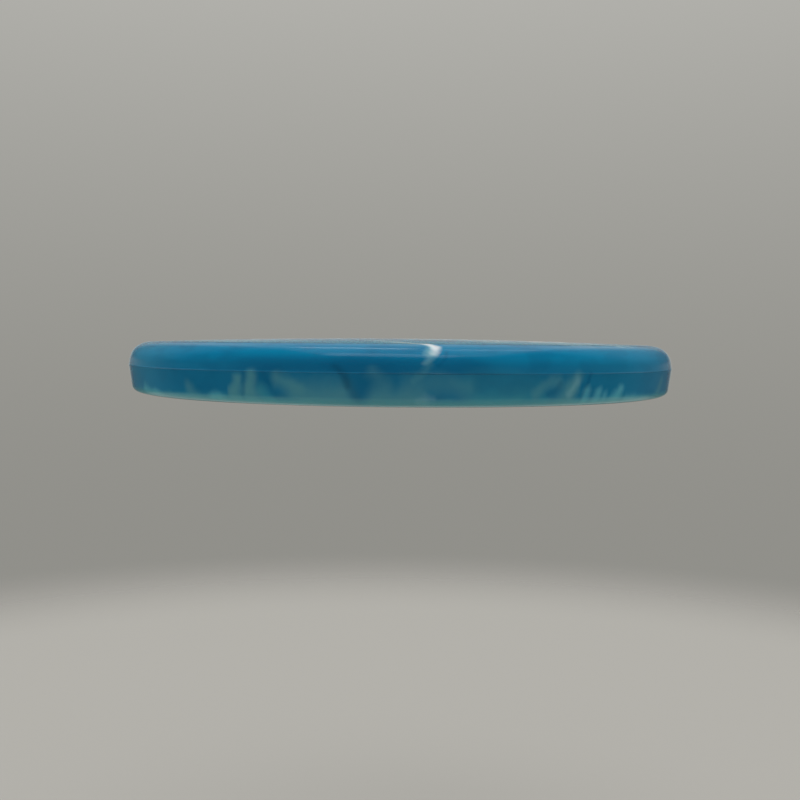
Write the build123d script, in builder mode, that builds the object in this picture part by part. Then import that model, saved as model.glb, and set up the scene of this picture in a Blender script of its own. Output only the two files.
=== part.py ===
from build123d import *
from math import cos, radians, sin, sqrt, tan
import os

# A golf-style flying disc of the putter kind: one injection moulding of swirled plastic, with a gently
# domed flight plate inside a deep, blunt rim. The moulding is held as those two regions, flight_plate
# and rim, which share one section and meet face to face on a cylinder just inside the cove.
# Millimetres and degrees, +Z up. The origin is on the disc's axis, in the plane that the foot stands on.

# --- the nose, the widest ring, where the two halves of the mould part ---
disc_diameter = 211.0
nose_height = 10.5  # above the foot
parting_proud = 0.12  # the parting line is a fine ridge round the nose
parting_width = 0.5

# --- the outside above the nose: a short wall, a shoulder of two radii and the dome ---
upper_wall_height = 2.3
upper_wall_draft = 8.0  # from upright
shoulder_side_radius = 7.1
shoulder_top_radius = 9.6
shoulder_blend_slope = 30.0  # slope of the outline where the two shoulder radii meet
dome_edge_slope = 2.3  # slope of the dome where it leaves the shoulder

# --- the outside below the nose: a leaning wall, and a foot of two radii with a flat land ---
lower_wall_draft = 8.4  # from upright
foot_side_radius = 2.8
foot_bottom_radius = 11.8
foot_blend_slope = 20.0  # slope of the outline where the two foot radii meet
foot_land = 1.0  # the flat ring that the disc stands on

# --- the hollow side of the rim ---
inside_corner = 1.5  # radius between the land and the inside wall
inside_draft = 2.0  # from upright, so that the disc comes off the mould's core
cove_radius = 4.0  # between the inside wall and the plate's underside

# --- the flight plate ---
plate_thickness = 1.8  # in the middle
plate_edge_thickness = 2.4  # over the inside wall

# --- the gate mark, in the middle of the underside ---
gate_recess_diameter = 20.0
gate_recess_depth = 0.4
gate_nub_diameter = 3.6  # what is left of the sprue once it is trimmed
gate_nub_height = 0.3


# --- the moulding's section, on the axis' right-hand side ---
with BuildSketch(Plane.XZ) as section:
    with BuildLine():
        nose_radius = disc_diameter / 2
        ridge_half = parting_width / 2
        ridge_tip = (nose_radius + parting_proud, nose_height)

        # From the nose up and over to the crown, each line tangent to the one before.
        ridge_top = (nose_radius - ridge_half * tan(radians(upper_wall_draft)), nose_height + ridge_half)
        upper_wall_length = (upper_wall_height - ridge_half) / cos(radians(upper_wall_draft))
        upper_wall = PolarLine(ridge_top, upper_wall_length, 90 + upper_wall_draft)
        shoulder_side = JernArc(
            upper_wall @ 1,
            upper_wall % 1,
            shoulder_side_radius,
            90 - upper_wall_draft - shoulder_blend_slope,
        )
        shoulder_top = JernArc(
            shoulder_side @ 1,
            shoulder_side % 1,
            shoulder_top_radius,
            shoulder_blend_slope - dome_edge_slope,
        )
        dome_edge = shoulder_top @ 1
        dome_radius = dome_edge.X / sin(radians(dome_edge_slope))
        dome_centre_height = dome_edge.Y - dome_radius * cos(radians(dome_edge_slope))
        crown_height = dome_centre_height + dome_radius
        dome = RadiusArc(dome_edge, (0, crown_height), -dome_radius)

        # From the nose down to the foot, again tangent all the way.
        ridge_foot = (nose_radius - ridge_half * tan(radians(lower_wall_draft)), nose_height - ridge_half)
        foot_side_rise = foot_side_radius * (cos(radians(foot_blend_slope)) - sin(radians(lower_wall_draft)))
        foot_bottom_rise = foot_bottom_radius * (1 - cos(radians(foot_blend_slope)))
        lower_wall_height = ridge_foot[1] - foot_side_rise - foot_bottom_rise
        lower_wall_length = lower_wall_height / cos(radians(lower_wall_draft))
        lower_wall = PolarLine(ridge_foot, lower_wall_length, 270 - lower_wall_draft)
        foot_side = JernArc(
            lower_wall @ 1,
            lower_wall % 1,
            foot_side_radius,
            foot_blend_slope + lower_wall_draft - 90,
        )
        foot_bottom = JernArc(foot_side @ 1, foot_side % 1, foot_bottom_radius, -foot_blend_slope)

        # The land, then up the inside wall and along the underside to the axis.
        inside_foot_radius = (foot_bottom @ 1).X - foot_land - inside_corner
        inside_foot = (inside_foot_radius, 0)
        dome_over_wall = dome_centre_height + sqrt(dome_radius**2 - inside_foot_radius**2)
        inside_wall_height = dome_over_wall - plate_edge_thickness
        inside_top_radius = inside_foot_radius - inside_wall_height * tan(radians(inside_draft))
        inside_top = (inside_top_radius, inside_wall_height)
        underside_height = crown_height - plate_thickness
        underside_rise = underside_height - inside_wall_height
        underside_radius = (inside_top_radius**2 + underside_rise**2) / (2 * underside_rise)
        Polyline(foot_bottom @ 1, inside_foot, inside_top)
        RadiusArc(inside_top, (0, underside_height), -underside_radius)
        Line((0, underside_height), (0, crown_height))
        Polyline(ridge_top, ridge_tip, ridge_foot)
    make_face()
    fillet(section.vertices().sort_by_distance(inside_top)[0], cove_radius)
    fillet(section.vertices().sort_by_distance(inside_foot)[0], inside_corner)

plate_radius = inside_top_radius - cove_radius  # where the plate ends and the rim begins
gate_floor_height = underside_height + gate_recess_depth

# --- flight_plate: the domed middle, with the gate mark underneath ---
with BuildPart() as flight_plate:
    revolve(section.sketch, axis=Axis.Z)
    Cylinder(plate_radius, 2 * crown_height, mode=Mode.INTERSECT)
    with BuildSketch(Plane.XY.offset(gate_floor_height)):
        Circle(gate_recess_diameter / 2)
    extrude(amount=-crown_height, mode=Mode.SUBTRACT)
    with BuildSketch(Plane.XY.offset(gate_floor_height)):
        Circle(gate_nub_diameter / 2)
    gate_nub = extrude(amount=-gate_nub_height)
    fillet(gate_nub.edges().group_by(Axis.Z)[0], gate_nub_height / 2)

# --- rim: the deep outer ring, with the shoulder, nose, foot, inside wall and cove ---
with BuildPart() as rim:
    revolve(section.sketch, axis=Axis.Z)
    Cylinder(plate_radius, 2 * crown_height, mode=Mode.SUBTRACT)

flight_plate.part.label = "flight_plate"
rim.part.label = "rim"

os.makedirs("parts", exist_ok=True)
export_step(flight_plate.part, "parts/flight_plate.step")
export_step(rim.part, "parts/rim.step")
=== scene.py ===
from math import cos, pi, radians, sin, tan

import bmesh
import bpy
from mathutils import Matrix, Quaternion, Vector


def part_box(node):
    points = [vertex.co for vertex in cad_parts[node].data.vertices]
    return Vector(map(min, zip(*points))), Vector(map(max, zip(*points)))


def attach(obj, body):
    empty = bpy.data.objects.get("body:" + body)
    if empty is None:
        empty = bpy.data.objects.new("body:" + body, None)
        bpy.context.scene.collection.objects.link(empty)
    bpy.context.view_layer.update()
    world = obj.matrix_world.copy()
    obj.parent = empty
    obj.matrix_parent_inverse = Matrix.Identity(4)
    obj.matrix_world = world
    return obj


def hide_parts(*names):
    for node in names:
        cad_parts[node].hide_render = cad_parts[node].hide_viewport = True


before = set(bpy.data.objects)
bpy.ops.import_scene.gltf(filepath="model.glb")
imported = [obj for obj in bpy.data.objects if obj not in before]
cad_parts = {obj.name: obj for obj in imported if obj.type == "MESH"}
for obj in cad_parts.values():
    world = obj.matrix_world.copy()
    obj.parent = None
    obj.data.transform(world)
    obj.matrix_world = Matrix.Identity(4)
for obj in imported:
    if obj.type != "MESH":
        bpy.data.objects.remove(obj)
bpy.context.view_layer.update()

MM = 0.001

# --------------------------------------------------------------------------------------------------
# Sizes, in millimetres and degrees. The outline's main places come from the frame.
# --------------------------------------------------------------------------------------------------
RIM_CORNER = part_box("rim")[1]
PLATE_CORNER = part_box("flight_plate")[1]

# the parting line, a fine ridge round the nose
PARTING_PROUD = 0.12
PARTING_WIDTH = 0.5
PARTING_ROUNDING = (0.15, 0.05, 0.15)  # radii above it, on its tip and below it
PARTING_LEAD = 0.1  # how much of the walls its rounding may take

NOSE_RADIUS = RIM_CORNER.x / MM - PARTING_PROUD
NOSE_HEIGHT = 10.5
CROWN_HEIGHT = PLATE_CORNER.z / MM

# the outside above the nose
UPPER_WALL_HEIGHT = 2.3
UPPER_WALL_DRAFT = 8.0
SHOULDER_SIDE_RADIUS = 7.1
SHOULDER_TOP_RADIUS = 9.6
SHOULDER_BLEND_SLOPE = 30.0
DOME_EDGE_SLOPE = 2.3

# the outside below the nose
LOWER_WALL_DRAFT = 8.4
FOOT_SIDE_RADIUS = 2.8
FOOT_BOTTOM_RADIUS = 11.8
FOOT_BLEND_SLOPE = 20.0
FOOT_LAND = 1.0

# the hollow side
INSIDE_CORNER = 1.5
INSIDE_DRAFT = 2.0
COVE_RADIUS = 4.0
UNDERSIDE_EDGE_SLOPE = 2.88  # where the cove meets the plate's underside
PLATE_THICKNESS = 1.8

# the gate mark
GATE_RECESS_RADIUS = 10.0
GATE_RECESS_DEPTH = 0.4
GATE_RECESS_MARGIN = 1.0  # the underside's points end this far outside the recess
GATE_NUB_RADIUS = 1.8
GATE_NUB_HEIGHT = 0.3
GATE_ROUNDING = (0.15, 0.18, 0.1, GATE_NUB_HEIGHT / 2)  # radii of its corners, from outside in

# how finely the disc is meshed
TURN_STEPS = 480  # steps that the section is turned in
DOME_STEP = 3.0  # mm between the points of the dome and of the underside


# --------------------------------------------------------------------------------------------------
# The disc's section
# --------------------------------------------------------------------------------------------------
class Walk:
    """A path of (radius, height) points that is drawn by straight runs and tangent turns."""

    def __init__(self, start, heading):
        self.points = [Vector(start)]
        self.heading = heading

    def ahead(self, length, step=1.0):
        """Goes straight on."""
        start = self.points[-1]
        direction = Vector((cos(radians(self.heading)), sin(radians(self.heading))))
        count = max(1, round(length / step))
        self.points += [start + direction * length * i / count for i in range(1, count + 1)]

    def turn(self, radius, degrees, step=0.45):
        """Goes round an arc, to the left where degrees is positive."""
        side = 1 if degrees > 0 else -1
        start = self.points[-1]
        first = radians(self.heading - 90 * side)
        centre = start - radius * Vector((cos(first), sin(first)))
        count = max(3, round(radius * radians(abs(degrees)) / step))
        for i in range(1, count + 1):
            angle = first + radians(degrees) * i / count
            self.points.append(centre + radius * Vector((cos(angle), sin(angle))))
        self.heading += degrees


def upper_outline():
    """From the parting line up over the shoulder and the dome to the crown."""
    half = PARTING_WIDTH / 2
    start = (NOSE_RADIUS - half * tan(radians(UPPER_WALL_DRAFT)), NOSE_HEIGHT + half)
    walk = Walk(start, 90 + UPPER_WALL_DRAFT)
    walk.ahead((UPPER_WALL_HEIGHT - half) / cos(radians(UPPER_WALL_DRAFT)), step=0.3)
    walk.turn(SHOULDER_SIDE_RADIUS, 90 - UPPER_WALL_DRAFT - SHOULDER_BLEND_SLOPE)
    walk.turn(SHOULDER_TOP_RADIUS, SHOULDER_BLEND_SLOPE - DOME_EDGE_SLOPE)
    walk.turn(walk.points[-1].x / sin(radians(DOME_EDGE_SLOPE)), DOME_EDGE_SLOPE, DOME_STEP)
    return walk.points


def inside_wall_length(start):
    """As long as brings the underside's middle to its height, from where the wall starts."""
    cove_rise = COVE_RADIUS * (cos(radians(UNDERSIDE_EDGE_SLOPE)) - sin(radians(INSIDE_DRAFT)))
    cove_run = COVE_RADIUS * (cos(radians(INSIDE_DRAFT)) - sin(radians(UNDERSIDE_EDGE_SLOPE)))
    half_slope = tan(radians(UNDERSIDE_EDGE_SLOPE / 2))
    rise = CROWN_HEIGHT - PLATE_THICKNESS - start.y - cove_rise
    rise -= (start.x - cove_run) * half_slope
    return rise / (cos(radians(INSIDE_DRAFT)) - sin(radians(INSIDE_DRAFT)) * half_slope)


def lower_outline():
    """From the parting line down round the foot, up the inside wall and in to the axis."""
    half = PARTING_WIDTH / 2
    start = (NOSE_RADIUS - half * tan(radians(LOWER_WALL_DRAFT)), NOSE_HEIGHT - half)
    foot_rise = FOOT_SIDE_RADIUS * (cos(radians(FOOT_BLEND_SLOPE)) - sin(radians(LOWER_WALL_DRAFT)))
    foot_rise += FOOT_BOTTOM_RADIUS * (1 - cos(radians(FOOT_BLEND_SLOPE)))
    walk = Walk(start, 270 - LOWER_WALL_DRAFT)
    walk.ahead((start[1] - foot_rise) / cos(radians(LOWER_WALL_DRAFT)), step=0.5)
    walk.turn(FOOT_SIDE_RADIUS, FOOT_BLEND_SLOPE + LOWER_WALL_DRAFT - 90, step=0.2)
    walk.turn(FOOT_BOTTOM_RADIUS, -FOOT_BLEND_SLOPE)
    walk.ahead(FOOT_LAND, step=0.5)
    walk.turn(INSIDE_CORNER, INSIDE_DRAFT - 90, step=0.25)
    walk.ahead(inside_wall_length(walk.points[-1]), step=0.8)
    walk.turn(COVE_RADIUS, 90 - INSIDE_DRAFT - UNDERSIDE_EDGE_SLOPE)
    walk.turn(walk.points[-1].x / sin(radians(UNDERSIDE_EDGE_SLOPE)), UNDERSIDE_EDGE_SLOPE, DOME_STEP)
    return walk.points


def rounded(corners, radii, steps=4):
    """A path through corners, with an arc of its own radius at each inner one."""
    path = [Vector(corners[0])]
    for before, corner, after, radius in zip(corners, corners[1:], corners[2:], radii):
        corner = Vector(corner)
        back = (Vector(before) - corner).normalized()
        on = (Vector(after) - corner).normalized()
        half = back.angle(on) / 2
        centre = corner + (back + on).normalized() * radius / sin(half)
        first = corner + back * radius / tan(half) - centre
        last = corner + on * radius / tan(half) - centre
        path += [centre + first.lerp(last, i / steps).normalized() * radius for i in range(steps + 1)]
    return path + [Vector(corners[-1])]


def parting_ridge(upper_end, lower_end):
    """The fine ridge that the mould's parting line leaves round the nose."""
    tip = (NOSE_RADIUS + PARTING_PROUD, NOSE_HEIGHT)
    before = upper_end + Vector((0, PARTING_LEAD))
    after = lower_end - Vector((0, PARTING_LEAD))
    return rounded([before, upper_end, tip, lower_end, after], PARTING_ROUNDING)[1:-1]


def gate_mark(outline):
    """The outline up to the gate mark, and then the recess and the trimmed sprue in to the axis."""
    outer = [point for point in outline if point.x > GATE_RECESS_RADIUS + GATE_RECESS_MARGIN]
    inner = outline[len(outer)]
    share = (outer[-1].x - GATE_RECESS_RADIUS) / (outer[-1].x - inner.x)
    floor = CROWN_HEIGHT - PLATE_THICKNESS + GATE_RECESS_DEPTH
    end = floor - GATE_NUB_HEIGHT
    corners = [
        outer[-1],
        (GATE_RECESS_RADIUS, outer[-1].lerp(inner, share).y),
        (GATE_RECESS_RADIUS, floor),
        (GATE_NUB_RADIUS, floor),
        (GATE_NUB_RADIUS, end),
        (0, end),
    ]
    return outer[:-1] + rounded(corners, GATE_ROUNDING)


def section():
    """The whole outline, from the crown round the rim and the hollow side back to the axis."""
    upper = upper_outline()
    lower = lower_outline()
    ridge = parting_ridge(upper[0], lower[0])
    return upper[:0:-1] + ridge + gate_mark(lower[1:])


def turned(name, outline, steps):
    """A mesh turned round the Z axis from an outline of (radius, height) points in millimetres."""
    mesh = bmesh.new()
    turns = [(cos(2 * pi * i / steps), sin(2 * pi * i / steps)) for i in range(steps)]
    rings = []
    for radius, height in outline:
        on_axis = radius < 1e-4
        spokes = [(0, 0)] if on_axis else [(radius * MM * c, radius * MM * s) for c, s in turns]
        rings.append([mesh.verts.new((x, y, height * MM)) for x, y in spokes])
    for first, second in zip(rings, rings[1:]):
        for i in range(steps):
            j = (i + 1) % steps
            corners = [first[i % len(first)], second[i % len(second)]]
            corners += [second[j % len(second)], first[j % len(first)]]
            mesh.faces.new(list(dict.fromkeys(corners)))  # a triangle where a ring is a point
    for face in mesh.faces:
        face.smooth = True
    data = bpy.data.meshes.new(name)
    mesh.to_mesh(data)
    mesh.free()
    piece = bpy.data.objects.new(name, data)
    bpy.context.scene.collection.objects.link(piece)
    return piece


# --------------------------------------------------------------------------------------------------
# Nodes
# --------------------------------------------------------------------------------------------------
class Nodes:
    """A tree of shader nodes. Each method adds a node and returns the socket that comes out of it."""

    def __init__(self, tree):
        self.tree = tree

    def add(self, kind, **settings):
        """Adds a node and returns the node itself."""
        node = self.tree.nodes.new("ShaderNode" + kind)
        for name, value in settings.items():
            setattr(node, name, value)
        return node

    def feed(self, socket, value):
        """Links a socket to another one's value, or sets it."""
        if isinstance(value, bpy.types.NodeSocket):
            self.tree.links.new(value, socket)
        elif hasattr(socket.default_value, "__len__") and len(socket.default_value) == 4:
            socket.default_value = (*value, 1.0)
        else:
            socket.default_value = value

    def feed_all(self, sockets, values):
        for socket, value in zip(sockets, values):
            self.feed(socket, value)

    def math(self, operation, *values):
        node = self.add("Math", operation=operation)
        self.feed_all(node.inputs, values)
        return node.outputs[0]

    def times(self, first, *others):
        """The product of all the values."""
        for value in others:
            first = self.math("MULTIPLY", first, value)
        return first

    def times_plus(self, value, factor, extra):
        return self.math("MULTIPLY_ADD", value, factor, extra)

    def limited(self, value):
        """The value, held between 0 and 1."""
        return self.math("MINIMUM", self.math("MAXIMUM", value, 0.0), 1.0)

    def vector_math(self, operation, *values):
        node = self.add("VectorMath", operation=operation)
        self.feed_all(node.inputs, values)
        return node.outputs["Vector"]

    def length(self, vector):
        node = self.add("VectorMath", operation="LENGTH")
        self.feed(node.inputs[0], vector)
        return node.outputs["Value"]

    def scaled(self, vector, factor):
        node = self.add("VectorMath", operation="SCALE")
        self.feed(node.inputs["Vector"], vector)
        self.feed(node.inputs["Scale"], factor)
        return node.outputs["Vector"]

    def vector(self, x, y, z):
        node = self.add("CombineXYZ")
        self.feed_all(node.inputs, (x, y, z))
        return node.outputs[0]

    def parts(self, vector):
        node = self.add("SeparateXYZ")
        self.feed(node.inputs[0], vector)
        return node.outputs

    def step(self, value, low, high, bottom=0.0, top=1.0):
        """Goes smoothly from bottom to top as value goes from low to high."""
        node = self.add("MapRange", interpolation_type="SMOOTHSTEP")
        self.feed_all(node.inputs, (value, low, high, bottom, top))
        return node.outputs[0]

    def mix(self, factor, first, second, blend="MIX"):
        """A mix of two colours, whose sockets come after those for numbers and for vectors."""
        node = self.add("Mix", data_type="RGBA", blend_type=blend)
        self.feed_all((node.inputs[0], node.inputs[6], node.inputs[7]), (factor, first, second))
        return node.outputs[2]

    def noise(self, vector, size, detail=2.0, roughness=0.5):
        """Noise with lumps of about that size, as a number round 0.5 and as a colour."""
        node = self.add("TexNoise")
        names = ("Vector", "Scale", "Detail", "Roughness")
        self.feed_all([node.inputs[name] for name in names], (vector, 1 / size, detail, roughness))
        return node.outputs["Fac"], node.outputs["Color"]

    def pushed(self, vector, *pushes):
        """The vector, moved about by one noise after another, each a size and how far it moves."""
        for size, amount in pushes:
            shift = self.vector_math("SUBTRACT", self.noise(vector, size, 1.0)[1], (0.5, 0.5, 0.5))
            vector = self.vector_math("ADD", vector, self.scaled(shift, amount))
        return vector


class Sheet(Nodes):
    """One material's nodes, with a Principled shader that already leads to the output."""

    def __init__(self, name):
        self.material = bpy.data.materials.new(name)
        self.material.use_nodes = True
        super().__init__(self.material.node_tree)
        self.tree.nodes.clear()
        self.shader = self.add("BsdfPrincipled")
        self.surface = self.add("OutputMaterial").inputs["Surface"]
        self.feed(self.surface, self.shader.outputs["BSDF"])

    def coat(self, **inputs):
        """Feeds the shader's inputs, each named as in the shader with _ for a space."""
        for name, value in inputs.items():
            self.feed(self.shader.inputs[name.replace("_", " ")], value)


# --------------------------------------------------------------------------------------------------
# The disc's plastic
# --------------------------------------------------------------------------------------------------
BLACK_BLUE = (0.002, 0.030, 0.065)
DEEP = (0.001, 0.066, 0.150)
BLUE = (0.000, 0.140, 0.265)
# Painted shade: a darker blue for the rim's lower part, which faces down.
SHADED_LOWER_BLUE = (0.005, 0.118, 0.222)
SEA = (0.038, 0.215, 0.255)
GREY_TEAL = (0.058, 0.205, 0.240)
PALE_TEAL = (0.110, 0.400, 0.430)
# Painted light: a paler teal for the side light on the rim's ends and the grazing sheen on the plate's front.
PAINTED_LIGHT_TEAL = (0.025, 0.250, 0.360)
MILK = (0.160, 0.340, 0.380)
WHITE = (0.520, 0.560, 0.580)

# The swirls round the front of the rim: start and end as (along the rim from the front, height), bow to
# the left of that way, half widths at the start and the end, strength and colour. Heights above the
# nose count on over the shoulder and in across the plate. All lengths are in millimetres.
SWIRLS = (
    # left of the middle: broad grey-teal, the dark arc round it, and the two fingers
    ((-32.0, 4.2), (-17.5, 4.0), 0.0, 5.0, 5.0, 0.75, GREY_TEAL),
    ((-44.0, 5.6), (-36.0, 1.0), -0.6, 2.4, 3.0, 0.55, SEA),
    ((-42.6, 10.0), (-26.0, 3.2), -3.8, 1.7, 1.0, 0.28, DEEP),
    ((-38.0, 8.6), (-31.0, 6.4), 0.4, 2.4, 2.0, 0.60, GREY_TEAL),
    ((-52.6, 8.8), (-54.2, 4.6), 0.3, 1.9, 2.2, 0.80, GREY_TEAL),
    ((-54.2, 5.0), (-52.2, 0.4), 0.2, 2.2, 2.4, 0.75, GREY_TEAL),
    ((-47.6, 9.4), (-48.8, 5.4), 0.3, 2.6, 2.8, 0.82, GREY_TEAL),
    ((-48.6, 5.4), (-44.8, 0.4), 0.2, 2.7, 3.5, 0.78, GREY_TEAL),
    ((-50.6, 10.0), (-51.0, 3.6), 0.3, 1.2, 0.8, 0.25, DEEP),
    ((-63.5, 2.8), (-56.5, 1.0), 0.3, 2.2, 1.8, 0.50, PALE_TEAL),
    ((-54.0, 1.4), (-43.0, 1.0), 0.0, 2.2, 2.2, 0.32, PALE_TEAL),
    ((-74.8, 5.6), (-70.6, 1.0), 0.4, 2.2, 3.0, 0.50, GREY_TEAL),
    ((-106.0, 3.4), (-92.0, 1.0), 0.0, 2.8, 2.2, 0.50, PALE_TEAL),
    ((-140.0, 8.0), (-128.0, 3.0), 1.0, 3.5, 3.0, 0.50, GREY_TEAL),
    # the dark wedge in the middle, narrow at the foot, and the teal on both sides of its point
    ((-9.0, 10.5), (-12.0, 0.2), -0.8, 9.5, 1.8, 0.34, DEEP),
    ((-19.4, 12.0), (-15.8, 7.4), 0.6, 1.5, 1.5, 0.34, BLACK_BLUE),
    ((-16.0, 8.6), (-12.4, 1.2), 0.8, 1.8, 1.6, 0.16, BLACK_BLUE),
    ((-6.6, 3.1), (5.0, 3.2), 0.0, 4.1, 4.0, 0.82, GREY_TEAL),
    ((-8.5, 10.8), (-4.5, 7.4), 0.0, 2.4, 2.6, 0.30, GREY_TEAL),
    # right of the middle: thin teal clouds
    ((3.0, 7.2), (20.0, 6.2), 0.8, 3.6, 3.6, 0.35, GREY_TEAL),
    ((15.5, 8.8), (20.5, 7.2), 0.0, 1.8, 1.8, 0.18, GREY_TEAL),
    ((18.6, 4.4), (22.0, 2.6), 0.0, 1.8, 1.8, 0.14, GREY_TEAL),
    ((5.5, 3.4), (8.0, 2.2), 0.0, 1.6, 1.6, 0.30, MILK),
    ((7.4, 4.4), (10.0, 4.2), 0.0, 1.4, 1.2, 0.22, MILK),
    ((24.0, 3.0), (46.0, 2.4), 0.4, 3.6, 3.4, 0.55, SEA),
    ((22.0, 7.6), (43.0, 7.2), 0.4, 4.5, 3.5, 0.22, SEA),
    # the right-hand fingers, and the dark arc before them
    ((43.0, 5.0), (51.0, 8.4), 0.8, 2.2, 2.2, 0.52, GREY_TEAL),
    ((51.8, 8.0), (48.0, 5.0), 0.6, 1.1, 1.1, 0.34, DEEP),
    ((58.8, 9.6), (56.4, 6.4), 0.5, 2.2, 3.1, 0.58, GREY_TEAL),
    ((56.2, 7.0), (51.4, 0.8), 0.3, 3.3, 4.5, 0.74, GREY_TEAL),
    ((58.6, 8.6), (55.2, 5.0), 0.0, 1.6, 1.6, 0.34, MILK),
    ((63.4, 10.6), (59.6, 2.2), 0.9, 1.1, 0.8, 0.45, DEEP),
    ((63.2, 5.8), (61.4, 0.4), 0.2, 1.9, 2.5, 0.40, PALE_TEAL),
    ((68.0, 5.2), (66.6, 0.4), 0.2, 2.0, 2.5, 0.44, PALE_TEAL),
    ((71.6, 4.2), (70.4, 0.4), 0.2, 1.8, 2.4, 0.34, PALE_TEAL),
    ((79.2, 5.8), (73.8, 0.4), 0.6, 2.1, 3.1, 0.48, PALE_TEAL),
    ((84.0, 2.4), (98.0, 1.4), 0.0, 2.4, 2.4, 0.45, PALE_TEAL),
    ((112.0, 7.0), (106.0, 1.0), 0.6, 2.4, 3.0, 0.50, GREY_TEAL),
    # the white wisp that comes in over the shoulder, turns back and fades out above the nose
    ((-14.0, 62.0), (7.0, 28.0), -2.0, 6.0, 2.2, 0.60, MILK),
    ((9.6, 26.0), (8.2, 18.0), 0.4, 2.2, 1.8, 0.45, MILK),
    ((-2.0, 42.0), (8.6, 26.5), -0.8, 3.0, 1.6, 0.60, WHITE),
    ((8.0, 27.2), (10.8, 22.6), 0.4, 1.7, 1.9, 0.88, WHITE),
    ((11.2, 23.0), (10.0, 18.4), 0.5, 1.8, 1.5, 0.72, WHITE),
    ((9.8, 19.2), (7.2, 14.4), 0.5, 1.7, 1.2, 0.36, MILK),
    ((8.0, 13.4), (4.2, 8.6), 0.6, 1.6, 1.2, 0.30, GREY_TEAL),
    ((14.2, 19.6), (10.8, 13.0), 0.8, 0.9, 0.9, 0.35, DEEP),
)


# Soft steps of the colour: from where, to where, and the levels before and after, 0 and 1 if not
# given. Places are in millimetres: x to the right, y away from the camera, z up, radius, and the way
# along the rim from the front. Those of a noise are in its own measure, round 0.5.
RIM_ZONE = (NOSE_RADIUS - 8.0, NOSE_RADIUS - 4.0)  # radius, from the plate on to the rim
FRONT_ZONE = (-26.0, -2.0, 1.0, 0.0)  # y, where the rim has the swirls above instead of marbling
BELOW_NOSE = (NOSE_HEIGHT + 0.2, NOSE_HEIGHT + 5.5, 1.0, 0.0)  # z, where the lower part is painted a darker blue as shade, since it faces down
DEEPER_CLOUDS = (0.36, 0.52, 0.25, 0.0)  # noise
SHADE_BAND_TOP = (NOSE_HEIGHT + 3.2, NOSE_HEIGHT + 6.0, 0.5, 0.0)  # z, a band of painted shade above the nose, where the wall gets less light from above
SHADE_BAND_FOOT = (NOSE_HEIGHT - 0.6, NOSE_HEIGHT + 1.0)  # z
SHADE_BAND_LEFT = (-66.0, -44.0)  # along
SHADE_BAND_RIGHT = (18.0, 34.0, 1.0, 0.0)  # along
# Painted light: the rim's ends, lit from the sides, and the plate's front, in a grazing sheen, are paler.
LIT_RIGHT_END = (48.0, 76.0, 0.0, 0.12)  # along
LIT_LEFT_END = (-106.0, -70.0, 0.22, 0.0)  # along
SHEEN_PLATE = (50.0, 90.0, 0.0, 0.85)  # radius
SHEEN_PLATE_EDGE = (96.5, 98.5, 1.0, 0.0)  # radius
SHEEN_PLATE_FRONT = (-84.0, -20.0, 1.0, 0.0)  # y
MARBLED_PLATE = (-80.0, -50.0, 0.35, 1.0)  # y, so that the plate's front is calm
DARK_CLOUDS = (0.30, 0.44, 0.8, 0.0)  # noise
RIBBON_START = (0.47, 0.60)  # noise
RIBBON_END = (0.60, 0.67, 1.0, 0.0)  # noise
RIBBON_BREAKS = (0.38, 0.58, 0.15, 0.85)  # noise
CREST_START = (0.55, 0.60)  # noise
CREST_END = (0.60, 0.62, 1.0, 0.0)  # noise
CREST_BREAKS = (0.50, 0.62, 0.0, 0.45)  # noise
FINGERS = (0.50, 0.60)  # noise
FINGER_TOPS = (6.0, 10.6, 1.0, 0.0)  # z
SEA_FOOT_GLOW = (-1.2, 2.6, 0.9, 0.0)  # z, a painted glow of light through the thin foot, made uneven by noise
PALE_FOOT_GLOW = (0.2, 3.4, 0.80, 0.0)  # z, a paler painted glow of light through the foot's front
PALE_FOOT_GLOW_MIDDLE = (30.0, 50.0, 0.72, 1.0)  # distance along from where it is weakest
PARTING_SHADE = (0.15, 0.45, 0.35, 0.0)  # distance from the parting line
PARTING_SHADE_LEFT = (-14.0, 4.0)  # along
PARTING_SHADE_RIGHT = (22.0, 44.0, 1.0, 0.15)  # along
ROUGHNESS = (0.3, 0.7, 0.12, 0.17)  # noise, and the roughness before and after
BUMP_STRENGTH = (92.0, 100.0, 0.01, 0.05)  # radius, and the strength on the plate and on the rim

# The noises' sizes, and the pushes, as (size of the noise, how far it moves), in millimetres
BLUE_CLOUD_SIZE = 16.0
BLUE_CLOUD_FLATTENING = 1.6
MARBLING_PUSHES = ((45.0, 60.0), (16.0, 14.0))
MARBLING_UPRIGHT = 0.35  # how much of the height counts, so that it runs down the rim in long threads
MARBLING_CORE = 0.5  # radius where the threads stop getting finer on their way in to the gate
CLOUD_SIZE = 26.0
STREAK_SIZE = 70.0
STREAK_SHAPE = (1.0, 1.0, 2.0)
FINGER_PUSH = (14.0, 9.0)
FINGER_SIZE = 7.0
FINGER_UPRIGHT = 0.30
FINGER_STRENGTH = 0.85
FOOT_NOISE_SIZE = 7.0
FOOT_NOISE_HEIGHT = 3.0
SWIRL_PUSHES = ((9.0, 3.0), (2.6, 0.9))
STROKE_REACH = 1.42  # half widths from its middle line to where a stroke has faded out
PALE_FOOT_GLOW_WEAKEST = 14.0  # along
BUMP_HEIGHT = 0.04
GRAIN_SIZE = 0.8
GRAIN_HEIGHT = 0.1  # times BUMP_HEIGHT
WAVE_SIZE = 14.0
WAVE_HEIGHT = 8.0  # times BUMP_HEIGHT

# Where a noise is read off a flat place, the third number picks a slice of it.
BLUE_CLOUD_SLICE = 4.0
SWIRL_SLICE = 0.0
FOOT_SLICE = 9.0


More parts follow.
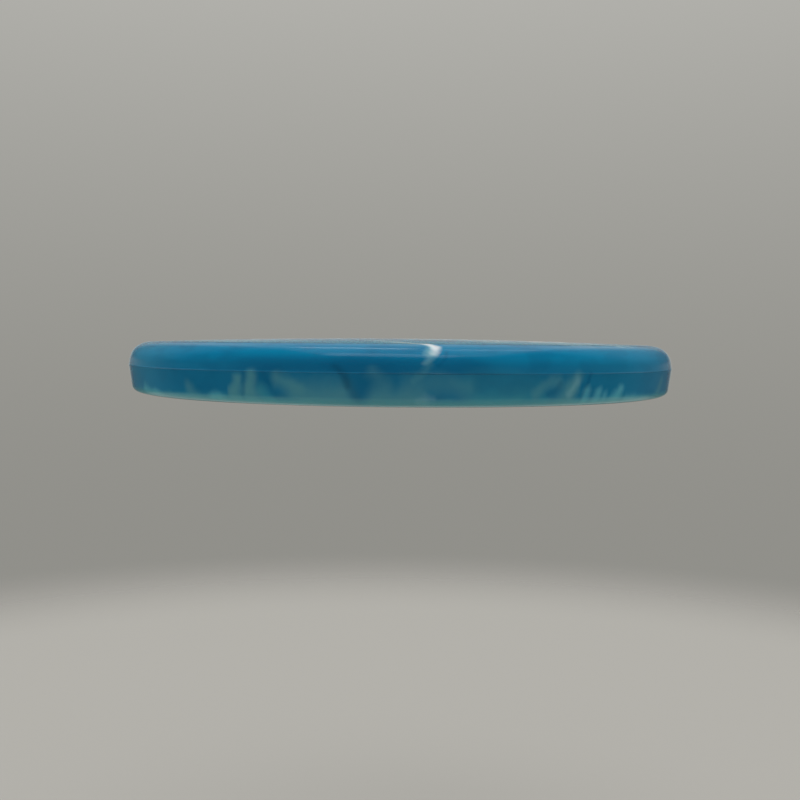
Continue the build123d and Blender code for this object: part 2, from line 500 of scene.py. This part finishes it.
def stroke(sheet, along, height, start, end, bow, start_half, end_half):
    """How much a soft stroke from start to end covers a point."""
    run, rise = end[0] - start[0], end[1] - start[1]
    length = (run**2 + rise**2) ** 0.5
    right = sheet.math("SUBTRACT", along, start[0])
    up = sheet.math("SUBTRACT", height, start[1])
    ahead = sheet.times_plus(right, run / length, sheet.times(up, rise / length))
    share = sheet.limited(sheet.math("DIVIDE", ahead, length))
    past = sheet.times_plus(share, -length, ahead)
    middle = sheet.times(share, sheet.math("SUBTRACT", 1.0, share))
    aside = sheet.times_plus(right, -rise / length, sheet.times(up, run / length))
    aside = sheet.times_plus(middle, -4 * bow, aside)
    reach = sheet.length(sheet.vector(aside, past, 0.0))
    half = sheet.times_plus(share, end_half - start_half, start_half)
    return sheet.step(sheet.math("DIVIDE", reach, half), 0.0, STROKE_REACH, 1.0, 0.0)


class Spot:
    """A point of the disc's surface: where it is, and how much it belongs to the rim and its front."""

    def __init__(self, sheet):
        self.place = sheet.scaled(sheet.add("TexCoord").outputs["Object"], 1 / MM)
        self.x, self.y, self.z = sheet.parts(self.place)
        self.radius = sheet.length(sheet.vector(self.x, self.y, 0.0))
        # The melt's way is out from the gate, over the shoulder and down the rim. The height on the
        # rim is that way back from the foot, so it counts on over the shoulder.
        self.way = sheet.math("SUBTRACT", sheet.math("ADD", self.radius, CROWN_HEIGHT), self.z)
        self.height = sheet.math("SUBTRACT", NOSE_RADIUS + CROWN_HEIGHT, self.way)
        azimuth = sheet.math("ARCTAN2", self.x, sheet.times(self.y, -1.0))
        self.along = sheet.times(azimuth, NOSE_RADIUS)
        self.on_rim = sheet.step(self.radius, *RIM_ZONE)
        self.front = sheet.times(self.on_rim, sheet.step(self.y, *FRONT_ZONE))


def blues(sheet, spot):
    """The blue under the swirls, with deeper clouds, painted shade below and just above the nose, and painted
    light on the rim's ends and the plate's front.
    """
    # Painted shade: the lower part of the rim, which faces down, is a darker blue.
    colour = sheet.mix(sheet.step(spot.z, *BELOW_NOSE), BLUE, SHADED_LOWER_BLUE)
    flat = sheet.vector(spot.along, sheet.times(spot.height, BLUE_CLOUD_FLATTENING), BLUE_CLOUD_SLICE)
    clouds = sheet.noise(flat, BLUE_CLOUD_SIZE)[0]
    colour = sheet.mix(sheet.step(clouds, *DEEPER_CLOUDS), colour, DEEP)

    # Painted shade: a deeper band just above the nose on the front, where the upper wall gets less light from
    # above.
    shade_band = sheet.times(
        sheet.step(spot.z, *SHADE_BAND_TOP),
        spot.front,
        sheet.step(spot.z, *SHADE_BAND_FOOT),
        sheet.step(spot.along, *SHADE_BAND_LEFT),
        sheet.step(spot.along, *SHADE_BAND_RIGHT),
    )
    colour = sheet.mix(shade_band, colour, DEEP)

    # Painted light: the rim's ends are paler where they catch light from the sides.
    right_end = sheet.step(spot.along, *LIT_RIGHT_END)
    left_end = sheet.step(spot.along, *LIT_LEFT_END)
    ends = sheet.times(sheet.math("ADD", right_end, left_end), spot.front)
    colour = sheet.mix(ends, colour, PAINTED_LIGHT_TEAL)
    # Painted sheen: the plate's front, seen at a grazing angle, is paler.
    plate = sheet.times(
        sheet.step(spot.radius, *SHEEN_PLATE),
        sheet.step(spot.radius, *SHEEN_PLATE_EDGE),
        sheet.step(spot.y, *SHEEN_PLATE_FRONT),
    )
    return sheet.mix(plate, colour, PAINTED_LIGHT_TEAL)


def marbling(sheet, spot, colour):
    """Clouds, ribbons and fingers along the melt's way, all over but on the front of the rim."""
    spread = sheet.math("SQRT", sheet.times(spot.way, NOSE_RADIUS))
    spread = sheet.math("DIVIDE", spread, sheet.math("MAXIMUM", spot.radius, MARBLING_CORE))
    across = sheet.times(spot.x, spread), sheet.times(spot.y, spread)
    flow = sheet.pushed(sheet.vector(*across, sheet.times(spot.z, MARBLING_UPRIGHT)), *MARBLING_PUSHES)
    cloud = sheet.noise(flow, CLOUD_SIZE, roughness=0.45)[0]
    streak = sheet.noise(sheet.vector_math("MULTIPLY", flow, STREAK_SHAPE), STREAK_SIZE, detail=1.0)[0]
    marbled = sheet.math("SUBTRACT", 1.0, spot.front)
    marbled = sheet.times(marbled, sheet.step(spot.y, *MARBLED_PLATE))

    colour = sheet.mix(sheet.times(sheet.step(cloud, *DARK_CLOUDS), marbled), colour, DEEP)
    for start, end, breaks, tint in (
        (RIBBON_START, RIBBON_END, RIBBON_BREAKS, MILK),
        (CREST_START, CREST_END, CREST_BREAKS, WHITE),
    ):
        vein = sheet.times(sheet.step(cloud, *start), sheet.step(cloud, *end), sheet.step(streak, *breaks))
        colour = sheet.mix(sheet.times(vein, marbled), colour, tint)

    upright = sheet.vector(spot.x, spot.y, sheet.times(spot.z, FINGER_UPRIGHT))
    finger = sheet.noise(sheet.pushed(upright, FINGER_PUSH), FINGER_SIZE, detail=1.5, roughness=0.4)[0]
    finger = sheet.times(sheet.step(finger, *FINGERS), sheet.step(spot.z, *FINGER_TOPS), spot.on_rim, marbled)
    return sheet.mix(sheet.times(finger, FINGER_STRENGTH), colour, GREY_TEAL)


def rim_swirls(sheet, spot, colour):
    """The foot's painted glow of light through its thin plastic, and the swirls on the front of the rim."""
    # Painted light: the foot glows sea-green where light shines through its thin plastic.
    uneven = sheet.noise(sheet.vector(spot.along, spot.height, FOOT_SLICE), FOOT_NOISE_SIZE)[0]
    foot_glow = sheet.step(sheet.times_plus(uneven, -FOOT_NOISE_HEIGHT, spot.z), *SEA_FOOT_GLOW)
    colour = sheet.mix(sheet.times(foot_glow, spot.on_rim), colour, SEA)

    flat = sheet.vector(spot.along, spot.height, SWIRL_SLICE)
    along, height, _ = sheet.parts(sheet.pushed(flat, *SWIRL_PUSHES))
    for *shape, strength, tint in SWIRLS:
        colour = sheet.mix(sheet.times(stroke(sheet, along, height, *shape), strength), colour, tint)

    # Painted light: a paler teal glow along the foot's front, weakest a little right of the middle.
    from_weakest = sheet.math("ABSOLUTE", sheet.math("SUBTRACT", spot.along, PALE_FOOT_GLOW_WEAKEST))
    foot_glow = sheet.times(
        sheet.step(spot.z, *PALE_FOOT_GLOW),
        spot.on_rim,
        sheet.step(from_weakest, *PALE_FOOT_GLOW_MIDDLE),
    )
    return sheet.mix(foot_glow, colour, PALE_TEAL)


def parting_shade(sheet, spot, colour):
    """The parting line, with painted shade along it in the middle of the front."""
    from_line = sheet.math("ABSOLUTE", sheet.math("SUBTRACT", spot.z, NOSE_HEIGHT))
    shade = sheet.times(
        sheet.step(from_line, *PARTING_SHADE),
        sheet.step(spot.along, *PARTING_SHADE_LEFT),
        sheet.step(spot.along, *PARTING_SHADE_RIGHT),
        spot.on_rim,
    )
    return sheet.mix(shade, colour, BLACK_BLUE)


def disc_plastic():
    """Glossy, slightly translucent blue plastic, with milky swirls that the melt drew out, and painted light
    and shade on the rim and the plate.
    """
    sheet = Sheet("disc_plastic")
    spot = Spot(sheet)
    colour = marbling(sheet, spot, blues(sheet, spot))
    colour = parting_shade(sheet, spot, rim_swirls(sheet, spot, colour))
    grain = sheet.noise(spot.place, GRAIN_SIZE, detail=3.0)[0]
    waves = sheet.noise(spot.place, WAVE_SIZE, detail=1.0)[0]
    bump = sheet.add("Bump")
    bump.inputs["Distance"].default_value = BUMP_HEIGHT * MM
    sheet.feed(bump.inputs["Strength"], sheet.step(spot.radius, *BUMP_STRENGTH))
    sheet.feed(bump.inputs["Height"], sheet.times_plus(waves, WAVE_HEIGHT, sheet.times(grain, GRAIN_HEIGHT)))
    sheet.coat(
        Base_Color=colour,
        Roughness=sheet.step(grain, *ROUGHNESS),
        Normal=bump.outputs["Normal"],
        IOR=1.5,
        Specular_IOR_Level=0.25,
        Subsurface_Weight=0.4,
        Subsurface_Radius=(0.25, 0.8, 1.0),
        Subsurface_Scale=0.002,
    )
    return sheet.material


# --------------------------------------------------------------------------------------------------
# The disc
# --------------------------------------------------------------------------------------------------
disc = turned("disc_moulding", section(), TURN_STEPS)
disc.data.materials.append(disc_plastic())
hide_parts("flight_plate", "rim")
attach(disc, "root")

# --------------------------------------------------------------------------------------------------
# The studio: a round floor that fades into the backdrop, soft lamps and the camera. In metres, but
# for the camera.
# --------------------------------------------------------------------------------------------------
CAMERA_DISTANCE = 390.3  # mm from the disc's axis
CAMERA_UNDER_CROWN = 1.82  # mm
CAMERA_PITCH = 3.36  # degrees down
CAMERA_ROLL = 0.52  # degrees; the picture's right-hand side is lower
CAMERA_LENS = 43.5  # mm, for a picture 36 mm wide
CAMERA_PICTURE = 36.0  # mm

FLOOR_DROP = 0.26  # the disc is seen held up, this far above the floor
FLOOR_RADIUS = 0.90
FLOOR_EDGE = 0.60  # where the floor starts to fade into the backdrop
FLOOR_STEPS = 96
FLOOR_COLOUR = (0.315, 0.310, 0.292)

# The air that lights the disc. The camera sees the backdrop in its place.
AIR_LEVEL = (0.58, 0.575, 0.56)  # from the side
AIR_ABOVE = (1.45, 1.43, 1.40)  # from straight above
SIDE_LIFT = 1.5  # how many times brighter it is straight from the left and right
BACKDROP_LOW = (0.282, 0.278, 0.256)
BACKDROP_HIGH = (0.455, 0.450, 0.422)
BACKDROP_FOOT = 0.20  # how far under the horizon, as -z, it starts to get paler
BACKDROP_RISE = 0.56  # how far up from there it is palest
BACKDROP_BEND = 1.7

# The gloss sees the backdrop brighter and darker, by the direction that it looks in: x to the right, y
# away from the camera, z up. Each step: from where, to where, and the levels before and after.
HORIZON_GLOW = (0.030, 0.080, 2.6, 0.0)  # z, up or down
HORIZON_GLOW_SIDES = (0.12, 0.28, 1.0, 0.46)  # x, left or right
WALL_GLOW = (0.21, 0.30, 0.34, 0.85)  # x, left or right
LOW_SIDES = (0.31, 0.46, 1.0, 0.34)  # x, left or right
HIGH_GLOW = (0.12, 0.62, 0.0, 0.95)  # z
HIGH_LEFT = (-0.50, -0.10, 0.2, 1.0)  # x
HIGH_RIGHT = (0.18, 0.60, 1.0, 0.25)  # x
CAMERA_SIDE = (0.05, 0.50, 0.06, 1.0)  # y

# Level soft boxes that shine straight down: name, place, spin in degrees, size and power in watts.
LAMPS = (
    ("soft_top", (0.05, -0.17, 1.22), 0, (1.2, 0.90), 2.3),
    ("soft_front", (-0.04, -0.60, 1.20), -15, (0.92, 0.40), 1.78),
    ("strip_left", (-0.19, 0.47, 1.20), -27, (0.52, 0.16), 0.75),
    ("strip_right", (0.40, 0.40, 1.20), 33, (0.52, 0.12), 0.35),
)


def studio_paint():
    """Plain, matt, warm grey, which fades out at the floor's edge and can be seen through from below."""
    sheet = Sheet("studio_paint")
    sheet.coat(Base_Color=FLOOR_COLOUR, Roughness=1.0, Specular_IOR_Level=0.0)
    geometry = sheet.add("NewGeometry").outputs
    reach = sheet.length(sheet.vector_math("MULTIPLY", geometry["Position"], (1.0, 1.0, 0.0)))
    seen = sheet.add("LightPath").outputs["Is Camera Ray"]
    from_below = sheet.times(geometry["Backfacing"], seen)
    clear = sheet.math("MAXIMUM", sheet.step(reach, FLOOR_EDGE, FLOOR_RADIUS), from_below)
    blend = sheet.add("MixShader")
    paint, nothing = sheet.shader.outputs["BSDF"], sheet.add("BsdfTransparent").outputs["BSDF"]
    sheet.feed_all(blend.inputs, (clear, paint, nothing))
    sheet.feed(sheet.surface, blend.outputs["Shader"])
    return sheet.material


def studio_floor():
    outline = [(0, -FLOOR_DROP / MM), (FLOOR_RADIUS / MM, -FLOOR_DROP / MM)]
    floor = turned("studio_floor", outline, FLOOR_STEPS)
    floor.data.materials.append(studio_paint())


def gloss_level(air, x, y, z):
    """How bright the gloss sees the backdrop in a direction."""
    aside, tilt = air.math("ABSOLUTE", x), air.math("ABSOLUTE", z)
    horizon = air.times(air.step(tilt, *HORIZON_GLOW), air.step(aside, *HORIZON_GLOW_SIDES))
    low = air.math("ADD", horizon, air.step(aside, *WALL_GLOW))
    low = air.times(low, air.step(aside, *LOW_SIDES))
    high = air.times(air.step(z, *HIGH_GLOW), air.step(x, *HIGH_LEFT), air.step(x, *HIGH_RIGHT))
    return air.times(air.math("ADD", low, high), air.step(y, *CAMERA_SIDE))


def studio_air():
    """White air all round. The camera sees a grey backdrop in its place, and the gloss a studio."""
    world = bpy.data.worlds.new("studio_air")
    world.use_nodes = True
    air = Nodes(world.node_tree)
    x, y, z = air.parts(air.add("TexCoord").outputs["Generated"])

    rise = air.limited(air.math("DIVIDE", air.math("ADD", z, BACKDROP_FOOT), BACKDROP_RISE))
    backdrop = air.mix(air.math("POWER", rise, BACKDROP_BEND), BACKDROP_LOW, BACKDROP_HIGH)
    rays = air.add("LightPath").outputs
    view = air.mix(rays["Is Glossy Ray"], backdrop, gloss_level(air, x, y, z), "MULTIPLY")

    light = air.mix(z, AIR_LEVEL, AIR_ABOVE)
    sides = air.times_plus(air.times(x, x), SIDE_LIFT - 1.0, 1.0)
    light = air.mix(1.0, light, sides, "MULTIPLY")
    seen = air.math("MAXIMUM", rays["Is Camera Ray"], rays["Is Glossy Ray"])
    air.feed(world.node_tree.nodes["Background"].inputs["Color"], air.mix(seen, light, view))
    bpy.context.scene.world = world


def lamp(name, place, spin, size, power):
    light = bpy.data.lights.new(name, "AREA")
    light.shape = "RECTANGLE"
    light.size, light.size_y = size
    light.energy = power
    holder = bpy.data.objects.new(name, light)
    holder.location = place
    holder.rotation_euler = (0, 0, radians(spin))
    bpy.context.scene.collection.objects.link(holder)


def camera():
    """At the photograph's viewing angle: level with the disc's crown, and pitched down a little."""
    lens = bpy.data.cameras.new("camera")
    lens.sensor_width = CAMERA_PICTURE
    lens.lens = CAMERA_LENS
    holder = bpy.data.objects.new("camera", lens)
    holder.location = (0, -CAMERA_DISTANCE * MM, (CROWN_HEIGHT - CAMERA_UNDER_CROWN) * MM)
    ahead = Vector((0, cos(radians(CAMERA_PITCH)), -sin(radians(CAMERA_PITCH))))
    holder.rotation_mode = "QUATERNION"
    holder.rotation_quaternion = ahead.to_track_quat("-Z", "Y") @ Quaternion((0, 0, 1), radians(CAMERA_ROLL))
    bpy.context.scene.collection.objects.link(holder)
    bpy.context.scene.camera = holder


studio_floor()
studio_air()
for settings in LAMPS:
    lamp(*settings)
camera()
bpy.context.scene.view_settings.view_transform = "Standard"
